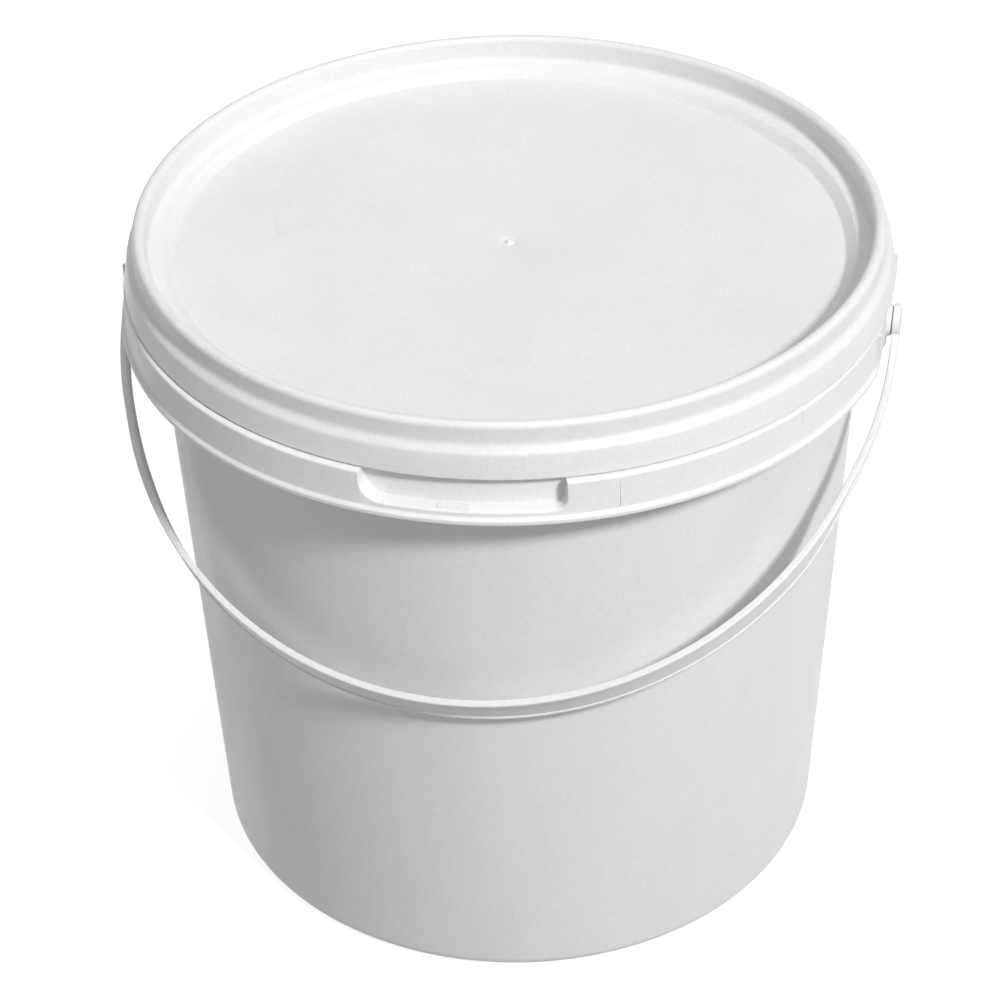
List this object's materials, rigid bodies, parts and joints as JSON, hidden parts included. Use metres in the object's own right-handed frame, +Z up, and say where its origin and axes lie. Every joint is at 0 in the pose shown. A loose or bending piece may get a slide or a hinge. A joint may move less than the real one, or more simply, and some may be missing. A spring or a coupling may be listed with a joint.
{
  "type": "plastic fermenting bucket",
  "caption": "Round tapered white plastic bucket with a skirted rim, a recessed press-fit lid and a swinging strap handle on two pivots.",
  "frame": {"origin": "centre of the foot ring, on the surface that the bucket stands on", "axes": "+Z up along the bucket's axis, X along the handle's pivots, -Y the side the handle hangs on and the pry recess is near"},
  "size_m": [0.2234, 0.2248, 0.206],
  "materials": {
    "bucket": "satin white polypropylene, lightly translucent",
    "lid": "satin white polypropylene",
    "handle": "satin white polypropylene"
  },
  "bodies": {
    "bucket": {"bucket": "bucket"},
    "lid": {"lid": "lid"},
    "handle": {"handle": "handle"}
  },
  "joints": [
    {"name": "lid_lift", "type": "slide", "parent": "bucket", "child": "lid", "axis": [0, 0, 1], "range_m": [0, 0.2]},
    {"name": "handle_swing", "type": "hinge", "parent": "bucket", "child": "handle", "pos_m": [0, 0, 0.1815], "axis": [-1, 0, 0], "range_deg": [0, 250]}
  ]
}
